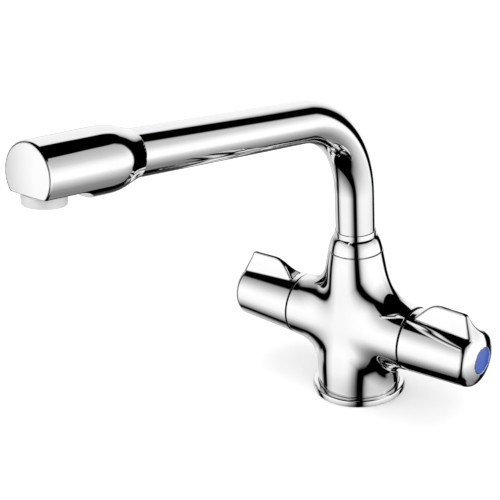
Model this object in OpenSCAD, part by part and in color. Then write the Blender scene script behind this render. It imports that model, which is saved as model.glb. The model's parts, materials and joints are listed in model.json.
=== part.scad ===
// Two handle kitchen mixer tap for one hole in a worktop or sink.
// A cross shaped body carries a quarter turn ceramic valve and a finned handle on each side,
// and a bent tubular spout swivels in the body's neck and ends in a nozzle with an aerator.
// The origin is the centre of the base on the worktop and +Z is up. The spout points along -Y,
// and the handles turn about one axis along X, with cold on +X and hot on -X.

/* [Spout] */
// Outside radius of the spout tube
tube_r = 11; // [10:0.5:11.5]
// Wall of the spout tube
tube_wall = 1.2; // [0.8:0.1:1.5]
// Centreline radius of the bend
bend_r = 54; // [40:1:60]
// Height at which the axis of the sloping arm meets the axis of the column
arm_z = 165.9; // [155:0.1:185]
// Rise of the arm above level, in degrees
arm_tilt = 10.2; // [5:0.2:15]
// Distance along the arm from the column's axis to the back lip of the nozzle
nozzle_start = 167; // [140:1:190]

/* [Nozzle] */
// Length of the nozzle from its back lip to its front face
nozzle_len = 58; // [56:1:70]
// How far the nozzle stands out around the tube just in front of its shoulder
nozzle_over = 3.8; // [3:0.1:5]
// How much the nozzle's radius lessens from there to its front face
nozzle_taper = 0.7; // [0.3:0.1:1.3]
// Length of the swelling shoulder behind the nozzle's barrel
shoulder_len = 13.5; // [10:0.5:16]
// Angle by which the nozzle droops below the line of the arm
nozzle_droop = 1.2; // [0:0.1:2]
// Depth of the flat underside below the nozzle's own axis
flat_drop = 8.6; // [7.5:0.1:9.5]
// Length of the flat underside along the nozzle
flat_len = 24.5; // [22:0.5:28]
// Outside radius of the aerator housing
aerator_r = 9.75; // [9:0.05:10.25]
// Height of the aerator that shows below the flat underside
aerator_show = 5; // [3:0.5:8]

/* [Body] */
// How far the base ring stands out beyond the column
base_overhang = 3.4; // [2.8:0.1:8]
// Height of the base ring
base_h = 3.7; // [3:0.1:6]
// Radius of the column above the base ring
column_r = 23.2; // [22:0.1:24]
// Radius of the neck at its foot, above the branches
neck_low_r = 17.5; // [17:0.1:19]
// How far the neck stands out around the spout tube where it meets the collar nut
neck_over = 4.3; // [4.2:0.1:5.5]
// Height of the joint between the neck and the collar nut
neck_z = 87.2; // [85:0.1:95]
// Height of the top of the collar nut
collar_z = 99; // [98:0.5:106]
// Height of the axis of the handles and valves
handle_z = 41.5; // [38:0.5:44]
// Radius of each branch where it meets its handle
branch_r = 17.7; // [17:0.1:19]
// Distance from the column's axis to the end of each branch
branch_end = 38.4; // [38:0.1:42]

/* [Handles] */
// Gap between a branch and its turning handle
handle_gap = 0.35; // [0.3:0.05:0.6]
// Length of the handle from the gap to the seat of its index disc
handle_len = 42.7; // [42:0.1:46]
// Radius of the handle at its outer rim
handle_rim_r = 16.1; // [15.5:0.1:17]
// Height of the fin's tip above the handle's axis
fin_top = 26.6; // [24:0.1:32]
// Distance of the inner end of the fin's straight edge from the inner end of the handle
fin_edge_in = 14.5; // [12:0.5:17]
// Distance of the outer end of the fin's straight edge from the inner end of the handle
fin_edge_out = 35; // [32:0.5:36]
// Thickness of the fin at its tip
fin_tip_t = 2.2; // [1:0.1:2.5]
// Radius of the coloured index disc
index_r = 7.25; // [6.5:0.05:8]

/* [Valves] */
// Radius of the valve's thread, half inch pipe size
thread_r = 10.3; // [10:0.1:10.6]
// Radius of the ceramic discs
disc_r = 8.2; // [8:0.05:8.3]
// Radius of the valve's spindle
spindle_r = 4.95; // [4.6:0.05:5.2]

/* [Fixing and inlets] */
// Tapping radius of the central fixing stud's hole, for an M8 stud
stud_hole_r = 3.4; // [3.3:0.1:3.5]
// Depth of the fixing stud's hole
stud_hole_depth = 16; // [12:0.5:22]
// Tapping radius of each inlet hole, for an M10 x 1 tail
inlet_hole_r = 4.5; // [4.4:0.05:4.6]
// Depth of each inlet's threaded hole
inlet_hole_depth = 14; // [10:0.5:18]
// Distance of each inlet from the column's axis
inlet_offset = 9.5; // [9.3:0.1:10]

/* [Hidden] */
$fn = 96;

// Sides of the hot and cold valve, as the sign of X
cold = 1;
hot = -1;
quarter_turn = 90;
half_turn = 180;
full_turn = 360;

// Clearances and small sizes that the pieces share
cut = 1;
running_gap = 0.05;
seat_gap = 0.1;
trim_gap = 0.15;
edge_round = 0.6;
arc_steps = 10;

// Base
ledge_z = 1.6;
base_r = column_r + base_overhang;
ledge_w = 3.5;
foot_r = column_r - ledge_w;
gasket_t = 1.15;
gasket_w = 2.8;
gasket_mid_r = (foot_r + base_r) / 2;
ring_edge = 0.7;

// Column and neck
neck_top_r = tube_r + neck_over;
column_straight_z = 14;
neck_foot_z = 70;
neck_steps = 12;

// Branches, with the flare where they leave the column
flare_r = 13;
flare_reach = 7.4;
flare_start = branch_end - flare_reach;
flare_depth = 10.5;
flare_inner = flare_start - flare_depth;
flare_steps = 8;
branch_core_r = branch_r - edge_round;
branch_side = branch_r + edge_round;

// Spout socket in the neck, from the bottom up
ferrule_step = 1;
ferrule_r = tube_r + ferrule_step;
socket_depth = 25.2;
socket_floor_z = neck_z - socket_depth;
shelf_depth = 9.2;
socket_shelf_z = neck_z - shelf_depth;
socket_r = ferrule_r + running_gap;
neck_wall = 1.5;
nut_thread_r = neck_top_r - neck_wall;
nut_bore_r = nut_thread_r + seat_gap;
thrust_t = 0.9;
flange_t = 2;
flange_gap = 0.4;
flange_r = nut_thread_r - flange_gap;
slip_t = 1.4;
stack_gap = 0.06;
thrust_top_z = socket_shelf_z + thrust_t;
flange_low_z = thrust_top_z + stack_gap;
flange_top_z = flange_low_z + flange_t;
slip_low_z = flange_top_z + stack_gap;
slip_top_z = slip_low_z + slip_t;
nut_low_z = slip_top_z;

// Ferrule
ferrule_lift = 2.2;
ferrule_low_z = socket_floor_z + ferrule_lift;
ferrule_wall = 2.15;
ferrule_fit_r = tube_r - tube_wall - running_gap;
ferrule_bore_r = ferrule_fit_r - ferrule_wall;
ferrule_neck = 11;
o_ring_wire_r = 0.78;
o_ring_groove_w = 2.2;
o_ring_groove_r = ferrule_r - 2 * o_ring_wire_r - running_gap;
o_ring_lift = 3.2;
o_ring_low_z = ferrule_low_z + o_ring_lift;
o_ring_pitch = 5.2;
o_ring_high_z = o_ring_low_z + o_ring_pitch;

// Collar nut's outside, from its joint with the neck up to its lip
collar_h = collar_z - neck_z;
lip_h = 3.2;
lip_wall = 1.05;
lip_r = tube_r + lip_wall;
collar_waist_wall = 0.85;
collar_waist_r = tube_r + collar_waist_wall;
collar_taper_share = 0.37;

// Spout tube
tube_low_z = flange_top_z;
tube_in_r = tube_r - tube_wall;
bend_angle = quarter_turn - arm_tilt;
bend_leg = bend_r * tan(bend_angle / 2);
bend_z = arm_z - bend_leg;
bend_lap = 1;
bend_thinning = 0.1;
tube_insert = 7;

// Nozzle
nozzle_back_r = tube_r + nozzle_over;
nozzle_front_r = nozzle_back_r - nozzle_taper;
nozzle_lip = 0.5;
lip_outer_r = tube_r + nozzle_lip;
nozzle_socket_r = tube_r + running_gap;
nozzle_bore_r = tube_in_r;
front_dome = 0.7;
front_edge_tilt = 8;
flat_slope = 38;
wide_bore_end = 22;
bore_step = 3.5;
narrow_bore_r = nozzle_bore_r - bore_step;
shoulder_steps = 10;
aerator_margin = 0.4;
aerator_at = nozzle_len - aerator_r - aerator_margin;
aerator_rim = 1.15;
aerator_thread_r = aerator_r - aerator_rim;
aerator_thread_h = 5.5;
aerator_wall = 1.3;
aerator_chamfer = 0.8;
aerator_washer_t = 1;
aerator_hole_r = aerator_thread_r + seat_gap;
aerator_insert_r = aerator_thread_r - aerator_wall - seat_gap;
aerator_lip = 0.9;
aerator_insert_h = 6.2;
aerator_hole_h = aerator_thread_h + aerator_washer_t + seat_gap;
mesh_t = 0.9;
mesh_hole_r = 0.75;
mesh_pitch = 2.3;
mesh_rings = 2;

// Valve pocket and waterways in the body
pocket_r = thread_r + seat_gap;
pocket_depth = 22.4;
pocket_floor = branch_end - pocket_depth;
seat_hole_r = 3.6;
gallery_r = 3;
gallery_run = 17;
gallery_inset = 6.5;
gallery_start = pocket_floor + gallery_inset;
gallery_lift = 8;
gallery_start_z = handle_z + gallery_lift;
mouth_wall = 5.6;
mouth_r = branch_r - mouth_wall;
mouth_depth = 1.75;

// Valve, as distances from the column's axis
nose_gap = 0.4;
seat_washer_in_r = 4.8;
washer_t = 2.2;
washer_end = pocket_floor + washer_t;
fixed_disc_t = 2.6;
fixed_disc_end = washer_end + fixed_disc_t;
disc_gap = 0.03;
moving_disc_start = fixed_disc_end + disc_gap;
moving_disc_t = 2.4;
moving_disc_end = moving_disc_start + moving_disc_t;
driver_start = moving_disc_end + running_gap;
driver_t = 2;
driver_end = driver_start + driver_t;
window_room = 4;
chamber_end = driver_end + window_room;
nose_bore_gap = 0.3;
nose_bore_r = disc_r + nose_bore_gap;
nose_wall = 0.9;
nose_r = nose_bore_r + nose_wall;
window_r = 1.6;
window_count = 4;
port_r = 2;
port_offset = 4.3;
tongue_w = 3;
tongue_depth = 1.1;
tongue_len = 9;
housing_flange_t = 2.6;
housing_flange_r = 14;
housing_flange_end = branch_end + housing_flange_t;
hex_flat_share = 0.85;
hex_r = 9.8;
hex_h = 5;
housing_neck_h = 3.9;
housing_end = housing_flange_end + hex_h + housing_neck_h;
housing_neck_r = hex_r * hex_flat_share;
shaft_bore_r = spindle_r + running_gap;
shaft_ring_inset = 4.5;
shaft_ring_at = chamber_end + shaft_ring_inset;
shaft_ring_wire_r = 0.5;
shaft_ring_groove_w = 1.6;
shaft_groove_r = spindle_r - 2 * shaft_ring_wire_r - running_gap;
clip_start = housing_end + running_gap + seat_gap;
clip_t = 0.9;
clip_r = 6.6;
clip_mouth_share = 0.8;
clip_groove_depth = 0.8;
clip_groove_r = spindle_r - clip_groove_depth;
clip_shoulder = 1.5;
spline_start = clip_start + clip_t + clip_shoulder;
spline_len = 11;
spline_end = spline_start + spline_len;
spline_count = 20;
spline_depth = 0.45;
spline_r = spindle_r - seat_gap;
screw_r = 2;
screw_hole_r = screw_r + running_gap;
mouth_ring_wire_r = 0.82;

// Handle
handle_start = branch_end + handle_gap;
handle_seat = handle_start + handle_len;
handle_base_r = branch_r;
handle_wall = 2;
rim_round = 3;
rim_inset = 6.05;
rim_centre = handle_seat - rim_inset;
rim_arc = 68;
end_wall = 7.5;
cavity_end = handle_seat - end_wall;
bush_wall = 2.85;
bush_r = spline_r + bush_wall;
boss_wall = 1.65;
boss_r = bush_r + running_gap + boss_wall;
boss_start = spline_start + handle_gap;
bush_gap = 0.08;
bush_start = boss_start + handle_gap;
bush_end = spline_end + edge_round;
land_t = 2.6;
screw_land = bush_end + land_t;
screw_head_r = 3.9;
screw_head_h = 2.6;
screw_head_gap = 0.4;
screw_head_bore_r = screw_head_r + screw_head_gap;
cross_share = 0.8;
screw_slot_w = 1;
screw_slot_depth = 1.2;
screw_room = 1;
screw_tip = spline_start + screw_room;
index_depth = 1.6;
index_recess_r = index_r + seat_gap;
index_dome = 0.5;
index_pin_r = screw_head_bore_r - seat_gap;
index_pin_len = 3;

// Fin, flat in front down to a fillet, and hollow behind
fin_lean = 1.9;
fin_front_tilt = 21.8;
fin_front_fillet = 5;
fin_back_r = 14;
fin_bulge_share = 0.11;
fin_foot_z = 13.5;
fin_foot_in = 1.2;
fin_foot_inset = 4.4;
fin_foot_out = handle_len - fin_foot_inset;
fin_width = 4 * handle_base_r;

// Radius of the column at a height, straight at the foot and then easing into the neck
function column_radius(z) =
    z <= column_straight_z ? column_r :
    neck_low_r + (column_r - neck_low_r) * (1 + cos(half_turn * (z - column_straight_z) /
        (neck_foot_z - column_straight_z))) / 2;

// Points of an arc about a centre, from one angle to another
function arc(x, y, r, from, to, steps = arc_steps) =
    [for (i = [0:steps]) let (a = from + (to - from) * i / steps) [x + r * cos(a), y + r * sin(a)]];

// Radius of the concave flare at a distance from the column's axis
function flare_radius(s) = branch_r + flare_r - sqrt(flare_r * flare_r - pow(flare_start - s, 2));

// Radius of the nozzle at a distance from its back lip
function nozzle_radius(t) =
    t < shoulder_len
    ? lip_outer_r + (nozzle_back_r - lip_outer_r) * sin(quarter_turn * t / shoulder_len)
    : nozzle_back_r - nozzle_taper * (t - shoulder_len) / (nozzle_len - shoulder_len);

// Straight round bar along +Z
module bar(low, high, r) {
    translate([0, 0, low])
        cylinder(h = high - low, r = r);
}

// Straight tube along +Z
module pipe(low, high, outer, inner) {
    difference() {
        bar(low, high, outer);
        bar(low - cut, high + cut, inner);
    }
}

// Rubber ring about +Z
module rubber_ring(at, centre_r, wire_r) {
    translate([0, 0, at])
        rotate_extrude()
            translate([centre_r, 0])
                circle(r = wire_r);
}

// Places a shape drawn along +Z on the handle's axis, with its X towards +Y and its Y up
module at_side(side) {
    translate([0, 0, handle_z])
        mirror([side < 0 ? 1 : 0, 0, 0])
            rotate([quarter_turn, 0, quarter_turn])
                children();
}

// Places a shape drawn along +Z on the axis of the arm
module along_arm() {
    translate([0, 0, arm_z])
        rotate([quarter_turn - arm_tilt, 0, 0])
            children();
}

// Places a shape drawn along +Z on the drooping axis of the nozzle, from its back lip
module along_nozzle() {
    along_arm()
        translate([0, 0, nozzle_start])
            rotate([nozzle_droop, 0, 0])
                children();
}

// Body
module column_shape() {
    rotate_extrude()
        polygon(concat(
            [[0, 0], [foot_r, 0], [foot_r, ledge_z], [column_r, ledge_z]],
            [for (i = [0:neck_steps])
                let (z = column_straight_z + (neck_foot_z - column_straight_z) * i / neck_steps)
                    [column_radius(z), z]],
            [[neck_top_r, neck_z], [0, neck_z]]
        ));
}

module branch_shape() {
    intersection() {
        rotate_extrude()
            polygon(concat(
                [[0, 0], [branch_core_r, 0]],
                [for (i = [0:flare_steps])
                    let (s = flare_inner + (flare_start - flare_inner) * i / flare_steps)
                        [flare_radius(s), s]],
                [[branch_r, branch_end], [0, branch_end]]
            ));
        translate([-branch_side, -2 * branch_side, -cut])
            cube([2 * branch_side, 4 * branch_side, branch_end + 2 * cut]);
    }
}

module valve_pocket() {
    bar(pocket_floor, branch_end + cut, pocket_r);
    bar(branch_end - mouth_depth, branch_end + cut, mouth_r);
    bar(inlet_offset, pocket_floor + cut, seat_hole_r);
}

module waterways(side) {
    translate([side * inlet_offset, 0, 0]) {
        bar(-cut, inlet_hole_depth, inlet_hole_r);
        bar(0, handle_z, seat_hole_r);
    }
    // Gallery from the valve's pocket up to the spout's socket
    gallery_rise = socket_floor_z + gallery_r - gallery_start_z;
    translate([side * gallery_start, 0, gallery_start_z])
        rotate([0, -side * atan2(gallery_run, gallery_rise), 0])
            bar(0, norm([gallery_run, gallery_rise]), gallery_r);
}

module body_casting() {
    color("silver")
        difference() {
            union() {
                column_shape();
                for (side = [cold, hot])
                    at_side(side) branch_shape();
            }
            bar(-cut, stud_hole_depth, stud_hole_r);
            bar(socket_floor_z, neck_z + cut, socket_r);
            bar(socket_shelf_z, neck_z + cut, nut_bore_r);
            for (side = [cold, hot]) {
                at_side(side) valve_pocket();
                waterways(side);
            }
        }
}

module base_ring() {
    color("silver")
        rotate_extrude()
            difference() {
                polygon([
                    [foot_r + seat_gap, 0], [base_r, 0], [base_r, base_h - ring_edge],
                    [base_r - ring_edge, base_h], [column_r + seat_gap, base_h],
                    [column_r + seat_gap, ledge_z], [foot_r + seat_gap, ledge_z]
                ]);
                translate([gasket_mid_r - gasket_w / 2, -cut])
                    square([gasket_w, gasket_t + cut]);
            }
}

module base_gasket() {
    color("black")
        pipe(0, gasket_t, gasket_mid_r + gasket_w / 2 - running_gap, gasket_mid_r - gasket_w / 2 + running_gap);
}

// Collar nut, slip ring and thrust washer that hold the spout in the neck
module collar_nut() {
    waist_h = collar_h - lip_h;
    sweep_r = neck_top_r - collar_waist_r;
    color("silver")
        difference() {
            union() {
                bar(nut_low_z, neck_z + edge_round, nut_thread_r);
                rotate_extrude()
                    polygon(concat(
                        [[0, neck_z], [neck_top_r, neck_z]],
                        [for (i = [1:arc_steps]) let (f = i / arc_steps)
                            [neck_top_r - sweep_r * (collar_taper_share * f + (1 - collar_taper_share) * f * f),
                             neck_z + waist_h * f]],
                        [[lip_r, neck_z + waist_h], [lip_r, collar_z - edge_round],
                         [lip_r - edge_round, collar_z], [0, collar_z]]
                    ));
            }
            bar(nut_low_z - cut, collar_z + cut, tube_r + trim_gap);
        }
}

module spout_slip_ring() {
    color("white")
        pipe(slip_low_z, slip_top_z, nut_thread_r - running_gap, tube_r + trim_gap);
}

module spout_thrust_washer() {
    color("white")
        pipe(socket_shelf_z, thrust_top_z, nut_thread_r - running_gap, ferrule_r + trim_gap);
}

// Spout
// The bend laps a little way over the straight runs, with its wall thinned by the bending
module bent_line(r, thinning, overrun) {
    translate([0, -bend_r, bend_z])
        rotate([quarter_turn, 0, quarter_turn]) {
            translate([bend_r, 0, 0])
                rotate([quarter_turn, 0, 0])
                    bar(-bend_lap, bend_z - tube_low_z + overrun, r);
            rotate_extrude(angle = bend_angle)
                translate([bend_r, 0])
                    circle(r = r + thinning);
            rotate([0, 0, bend_angle])
                translate([bend_r, 0, 0])
                    rotate([-quarter_turn, 0, 0])
                        bar(-bend_lap, nozzle_start + tube_insert + overrun - bend_leg, r);
        }
}

module spout_tube() {
    color("silver")
        difference() {
            bent_line(tube_r, -bend_thinning, 0);
            bent_line(tube_in_r, bend_thinning, cut);
        }
}

module spout_ferrule() {
    color("goldenrod")
        difference() {
            union() {
                bar(ferrule_low_z, flange_low_z + flange_t / 2, ferrule_r);
                bar(flange_low_z, flange_top_z, flange_r);
                bar(flange_low_z, flange_top_z + ferrule_neck, ferrule_fit_r);
            }
            bar(ferrule_low_z - cut, flange_top_z + ferrule_neck + cut, ferrule_bore_r);
            for (z = [o_ring_low_z, o_ring_high_z])
                pipe(z - o_ring_groove_w / 2, z + o_ring_groove_w / 2, ferrule_r + cut, o_ring_groove_r);
        }
}

module spout_o_ring(z) {
    color("black")
        rubber_ring(z, ferrule_r - o_ring_wire_r, o_ring_wire_r);
}

// Nozzle
module nozzle_outside() {
    flat_depth = nozzle_back_r - flat_drop + cut;
    flat_at = nozzle_len - flat_len;
    difference() {
        rotate_extrude()
            polygon(concat(
                [[0, 0]],
                [for (i = [0:shoulder_steps])
                    let (t = shoulder_len * i / shoulder_steps) [nozzle_radius(t), t]],
                [[nozzle_front_r, nozzle_len - front_dome - edge_round]],
                arc(nozzle_front_r - edge_round, nozzle_len - front_dome - edge_round, edge_round,
                    0, quarter_turn - front_edge_tilt),
                [[0, nozzle_len]]
            ));
        rotate([0, -quarter_turn, 0])
            translate([0, 0, -2 * nozzle_back_r])
                linear_extrude(height = 4 * nozzle_back_r)
                    polygon([
                        [nozzle_len + cut, -flat_drop], [flat_at, -flat_drop],
                        [flat_at - flat_depth / tan(flat_slope), -flat_drop - flat_depth],
                        [nozzle_len + cut, -flat_drop - flat_depth]
                    ]);
    }
}

// Places a shape drawn along +Z so that it points down out of the nozzle's flat underside
module at_aerator() {
    along_nozzle()
        translate([0, -flat_drop, aerator_at])
            rotate([quarter_turn, 0, 0])
                children();
}

module nozzle_shell() {
    color("silver")
        difference() {
            along_nozzle() nozzle_outside();
            along_arm() {
                bar(nozzle_start - cut, nozzle_start + tube_insert + seat_gap, nozzle_socket_r);
                bar(nozzle_start, nozzle_start + wide_bore_end, nozzle_bore_r);
                bar(nozzle_start, nozzle_start + aerator_at, narrow_bore_r);
            }
            at_aerator() bar(-aerator_hole_h, cut, aerator_hole_r);
        }
}

module aerator_housing() {
    color("white")
        at_aerator()
            difference() {
                rotate_extrude()
                    polygon([
                        [0, -aerator_thread_h], [aerator_thread_r, -aerator_thread_h], [aerator_thread_r, 0],
                        [aerator_r, 0], [aerator_r, aerator_show - aerator_chamfer],
                        [aerator_r - aerator_chamfer, aerator_show], [0, aerator_show]
                    ]);
                bar(-aerator_thread_h - cut, aerator_show - aerator_lip, aerator_thread_r - aerator_wall);
                bar(0, aerator_show + cut, aerator_thread_r - aerator_wall - aerator_lip);
            }
}

module aerator_insert() {
    top = aerator_show - aerator_lip - running_gap;
    color("gainsboro")
        at_aerator()
            difference() {
                bar(top - aerator_insert_h, top, aerator_insert_r);
                bar(top - aerator_insert_h - cut, top - mesh_t, aerator_insert_r - mesh_t);
                for (ring = [1:mesh_rings], i = [1:6 * ring])
                    rotate([0, 0, full_turn * i / (6 * ring)])
                        translate([ring * mesh_pitch, 0, 0])
                            bar(top - mesh_t - cut, top + cut, mesh_hole_r);
                bar(top - mesh_t - cut, top + cut, mesh_hole_r);
            }
}

module aerator_washer() {
    color("black")
        at_aerator()
            pipe(-aerator_thread_h - aerator_washer_t, -aerator_thread_h, aerator_thread_r,
                aerator_thread_r - aerator_wall - aerator_lip);
}

// Handle
// Points of the fin's flat front face and of the fillet by which it runs onto the handle
function fin_front() =
    let (tip_x = -fin_lean - fin_tip_t / 2,
         reach = handle_rim_r + fin_front_fillet,
         side = [tip_x - fin_front_fillet * cos(fin_front_tilt),
                 fin_top + fin_front_fillet * sin(fin_front_tilt)],
         drop = side[1] * cos(fin_front_tilt) + side[0] * sin(fin_front_tilt),
         run = drop - sqrt(drop * drop - side * side + reach * reach),
         x = side[0] - run * sin(fin_front_tilt),
         y = side[1] - run * cos(fin_front_tilt))
    concat([[tip_x, fin_top]], arc(x, y, fin_front_fillet, -fin_front_tilt, atan2(-y, -x)));

// Points of the fin's hollow back face, from its tip down to where it runs onto the handle
function fin_back() =
    let (tip_x = fin_tip_t / 2 - fin_lean,
         reach = handle_rim_r + fin_back_r,
         tip = norm([tip_x, fin_top]),
         spread = acos((reach * reach + tip * tip - fin_back_r * fin_back_r) / (2 * reach * tip)),
         x = reach * sin(atan2(tip_x, fin_top) + spread),
         y = reach * cos(atan2(tip_x, fin_top) + spread))
    arc(x, y, fin_back_r, full_turn + atan2(fin_top - y, tip_x - x) - (fin_top > y ? full_turn : 0),
        full_turn + atan2(-y, -x));

module fin_shape() {
    front = fin_front();
    back = fin_back();
    intersection() {
        translate([0, 0, handle_start])
            linear_extrude(height = handle_len)
                polygon(concat(
                    [for (i = [1:len(front)]) front[len(front) - i]],
                    back
                ));
        translate([0, 0, handle_start])
            rotate([0, -quarter_turn, 0])
                translate([0, 0, -fin_width / 2])
                    linear_extrude(height = fin_width)
                        polygon(concat(
                            [[fin_foot_in, 0]],
                            [for (i = [0:arc_steps]) let (f = i / arc_steps, b = fin_bulge_share * sin(half_turn * f))
                                [fin_foot_in + (fin_edge_in - fin_foot_in) * (f - b),
                                 fin_foot_z + (fin_top - fin_foot_z) * (f + b)]],
                            [[fin_edge_out, fin_top], [fin_foot_out, fin_foot_z], [fin_foot_out, 0]]
                        ));
    }
}

module hub_shape() {
    rotate_extrude()
        polygon(concat(
            [[0, handle_start], [handle_base_r, handle_start]],
            arc(handle_rim_r - rim_round, rim_centre, rim_round, 0, rim_arc),
            [[index_recess_r, handle_seat], [0, handle_seat]]
        ));
}

module handle_shape() {
    difference() {
        union() {
            hub_shape();
            fin_shape();
        }
        difference() {
            translate([0, 0, handle_start - cut])
                cylinder(h = cavity_end - handle_start + cut,
                    r1 = handle_base_r - handle_wall, r2 = handle_rim_r - handle_wall);
            bar(boss_start, cavity_end + cut, boss_r);
        }
        bar(boss_start - cut, bush_end, bush_r + running_gap);
        bar(bush_end - cut, screw_land + cut, screw_hole_r);
        bar(screw_land, handle_seat, screw_head_bore_r);
        bar(handle_seat - index_depth, handle_seat + cut, index_recess_r);
    }
}

// Outline of the splines, grown by a clearance for the bush
function spline_outline(gap) =
    [for (i = [0:2 * spline_count - 1])
        let (a = half_turn * i / spline_count, r = spline_r + gap - (i % 2) * spline_depth)
            [r * cos(a), r * sin(a)]];

module bush_shape() {
    difference() {
        bar(bush_start, bush_end, bush_r);
        translate([0, 0, bush_start - cut])
            linear_extrude(height = bush_end - bush_start + 2 * cut)
                polygon(spline_outline(bush_gap));
    }
}

module screw_shape() {
    difference() {
        union() {
            bar(screw_tip, screw_land + screw_head_h / 2, screw_r);
            bar(screw_land, screw_land + screw_head_h, screw_head_r);
        }
        for (a = [0, quarter_turn])
            rotate([0, 0, a])
                translate([-screw_head_r * cross_share, -screw_slot_w / 2, screw_land + screw_head_h - screw_slot_depth])
                    cube([2 * screw_head_r * cross_share, screw_slot_w, screw_slot_depth + cut]);
    }
}

module index_shape() {
    crown_r = (index_r * index_r + index_dome * index_dome) / (2 * index_dome);
    intersection() {
        union() {
            bar(handle_seat - index_depth + running_gap, handle_seat + index_dome, index_r);
            bar(handle_seat - index_depth - index_pin_len, handle_seat, index_pin_r);
        }
        translate([0, 0, handle_seat + index_dome - crown_r])
            sphere(r = crown_r, $fn = 4 * $fn);
    }
}

// Valve
module ports(low, high, across) {
    for (way = [-1, 1])
        translate(across ? [way * port_offset, 0, 0] : [0, way * port_offset, 0])
            bar(low, high, port_r);
}

module spindle_shape() {
    difference() {
        union() {
            translate([-tongue_w / 2, -tongue_len / 2, driver_start - tongue_depth])
                cube([tongue_w, tongue_len, tongue_depth + driver_end - driver_start]);
            bar(driver_start, driver_end, disc_r);
            bar(driver_start, spline_start, spindle_r);
            translate([0, 0, spline_start])
                linear_extrude(height = spline_end - spline_start)
                    polygon(spline_outline(0));
        }
        ports(driver_start - tongue_depth - cut, driver_end + cut, true);
        pipe(shaft_ring_at - shaft_ring_groove_w / 2, shaft_ring_at + shaft_ring_groove_w / 2,
            spindle_r + cut, shaft_groove_r);
        pipe(clip_start - running_gap, clip_start + clip_t + running_gap, spindle_r + cut, clip_groove_r);
        bar(screw_tip - cut, spline_end + cut, screw_hole_r);
    }
}

module clip_shape() {
    difference() {
        pipe(clip_start, clip_start + clip_t, clip_r, clip_groove_r + running_gap);
        translate([0, -clip_groove_r * clip_mouth_share, clip_start - cut])
            cube([2 * clip_r, 2 * clip_groove_r * clip_mouth_share, clip_t + 2 * cut]);
    }
}

module moving_disc_shape() {
    difference() {
        bar(moving_disc_start, moving_disc_end, disc_r);
        ports(moving_disc_start - cut, moving_disc_end + cut, true);
        translate([-tongue_w / 2 - running_gap, -tongue_len / 2 - running_gap, driver_start - tongue_depth - running_gap])
            cube([tongue_w + 2 * running_gap, tongue_len + 2 * running_gap, tongue_depth + cut]);
    }
}

module fixed_disc_shape() {
    difference() {
        bar(washer_end, fixed_disc_end, disc_r);
        ports(washer_end - cut, fixed_disc_end + cut, false);
    }
}

module housing_shape() {
    difference() {
        union() {
            bar(pocket_floor + nose_gap, chamber_end, nose_r);
            bar(chamber_end, branch_end, thread_r);
            bar(branch_end, housing_flange_end, housing_flange_r);
            translate([0, 0, housing_flange_end])
                cylinder(h = hex_h, r = hex_r, $fn = 6);
            bar(housing_flange_end, housing_end, housing_neck_r);
        }
        bar(pocket_floor, chamber_end, nose_bore_r);
        bar(chamber_end - cut, housing_end + cut, shaft_bore_r);
        for (i = [0:window_count - 1])
            rotate([0, 0, full_turn * (i + 0.5) / window_count])
                translate([0, 0, (driver_end + chamber_end) / 2])
                    rotate([0, quarter_turn, 0])
                        bar(0, thread_r, window_r);
    }
}

// Nodes of the cold side and then of the hot side
module handle(side) {
    color("silver") at_side(side) handle_shape();
}

module spline_bush(side) {
    color("white") at_side(side) bush_shape();
}

module handle_screw(side) {
    color("lightgray") at_side(side) screw_shape();
}

module index_disc(side) {
    color(side == cold ? "royalblue" : "firebrick") at_side(side) index_shape();
}

module spindle(side) {
    color("goldenrod") at_side(side) spindle_shape();
}

module spindle_clip(side) {
    color("lightgray") at_side(side) clip_shape();
}

module spindle_o_ring(side) {
    color("black")
        at_side(side)
            rubber_ring(shaft_ring_at, spindle_r - shaft_ring_wire_r - running_gap / 2, shaft_ring_wire_r);
}

module moving_disc(side) {
    color("ivory") at_side(side) moving_disc_shape();
}

module fixed_disc(side) {
    color("ivory") at_side(side) fixed_disc_shape();
}

module seat_washer(side) {
    color("black") at_side(side) pipe(pocket_floor, washer_end, disc_r, seat_washer_in_r);
}

module valve_housing(side) {
    color("goldenrod") at_side(side) housing_shape();
}

module housing_o_ring(side) {
    color("black")
        at_side(side)
            rubber_ring(branch_end - mouth_depth / 2, (thread_r + mouth_r) / 2, mouth_ring_wire_r);
}

body_casting();
base_ring();
base_gasket();
collar_nut();
spout_slip_ring();
spout_thrust_washer();
spout_tube();
spout_ferrule();
spout_o_ring(o_ring_high_z);  // spout_o_ring_upper
spout_o_ring(o_ring_low_z);  // spout_o_ring_lower
nozzle_shell();
aerator_housing();
aerator_insert();
aerator_washer();
handle(cold);  // cold_handle
spline_bush(cold);  // cold_spline_bush
handle_screw(cold);  // cold_handle_screw
index_disc(cold);  // cold_index_disc
spindle(cold);  // cold_spindle
spindle_clip(cold);  // cold_spindle_clip
spindle_o_ring(cold);  // cold_spindle_o_ring
moving_disc(cold);  // cold_moving_disc
fixed_disc(cold);  // cold_fixed_disc
seat_washer(cold);  // cold_seat_washer
valve_housing(cold);  // cold_valve_housing
housing_o_ring(cold);  // cold_housing_o_ring
handle(hot);  // hot_handle
spline_bush(hot);  // hot_spline_bush
handle_screw(hot);  // hot_handle_screw
index_disc(hot);  // hot_index_disc
spindle(hot);  // hot_spindle
spindle_clip(hot);  // hot_spindle_clip
spindle_o_ring(hot);  // hot_spindle_o_ring
moving_disc(hot);  // hot_moving_disc
fixed_disc(hot);  // hot_fixed_disc
seat_washer(hot);  // hot_seat_washer
valve_housing(hot);  // hot_valve_housing
housing_o_ring(hot);  // hot_housing_o_ring
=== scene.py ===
import json
import math

import bpy
import numpy as np
from mathutils import Matrix, Vector


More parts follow.
